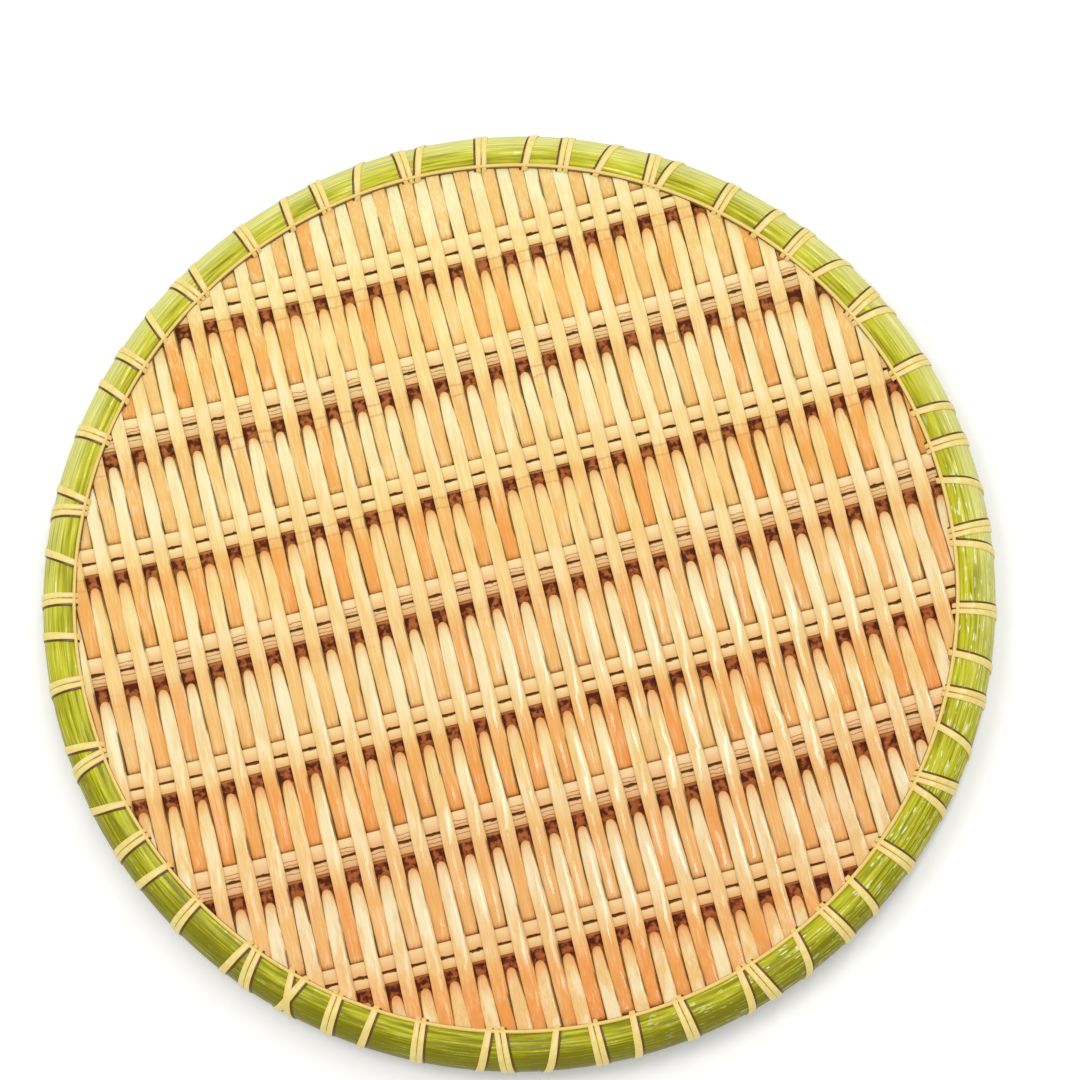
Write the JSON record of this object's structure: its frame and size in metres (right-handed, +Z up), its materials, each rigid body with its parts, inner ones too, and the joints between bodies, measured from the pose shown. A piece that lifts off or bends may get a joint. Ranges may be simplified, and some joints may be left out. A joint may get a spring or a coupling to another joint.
{
  "type": "serving tray",
  "caption": "Round shallow serving tray in glazed moulded plastic, shaped as a woven bamboo winnowing tray with a green lashed hoop.",
  "frame": {"origin": "middle of the tray's outline at the underside of the foot ring", "axes": "+Z up out of the tray, +X along the cross strips, +Y along the upright strips towards the first lashing knot"},
  "size_m": [0.3553, 0.3554, 0.022],
  "materials": {
    "woven_strips": "gloss",
    "cross_strips": "gloss",
    "green_hoop": "gloss",
    "lashings": "gloss",
    "tray_body": "satin"
  },
  "bodies": {
    "root": {"woven_floor": "woven_strips", "foot_ring": "tray_body", "cross_strip_1_wide": "cross_strips", "cross_strip_1_narrow": "cross_strips", "cross_strip_2_wide": "cross_strips", "cross_strip_2_narrow": "cross_strips", "cross_strip_3_wide": "cross_strips", "cross_strip_3_narrow": "cross_strips", "cross_strip_4_wide": "cross_strips", "cross_strip_4_narrow": "cross_strips", "cross_strip_5_wide": "cross_strips", "cross_strip_5_narrow": "cross_strips", "cross_strip_6_wide": "cross_strips", "cross_strip_6_narrow": "cross_strips", "cross_strip_7_wide": "cross_strips", "cross_strip_7_narrow": "cross_strips", "rim_hoop": "green_hoop", "rim_binding_01": "lashings", "rim_binding_02": "lashings", "rim_binding_03": "lashings", "rim_binding_04": "lashings", "rim_binding_05": "lashings", "rim_binding_06": "lashings", "rim_binding_07": "lashings", "rim_binding_08": "lashings", "rim_binding_09": "lashings", "rim_binding_10": "lashings", "rim_binding_11": "lashings"}
  },
  "joints": []
}
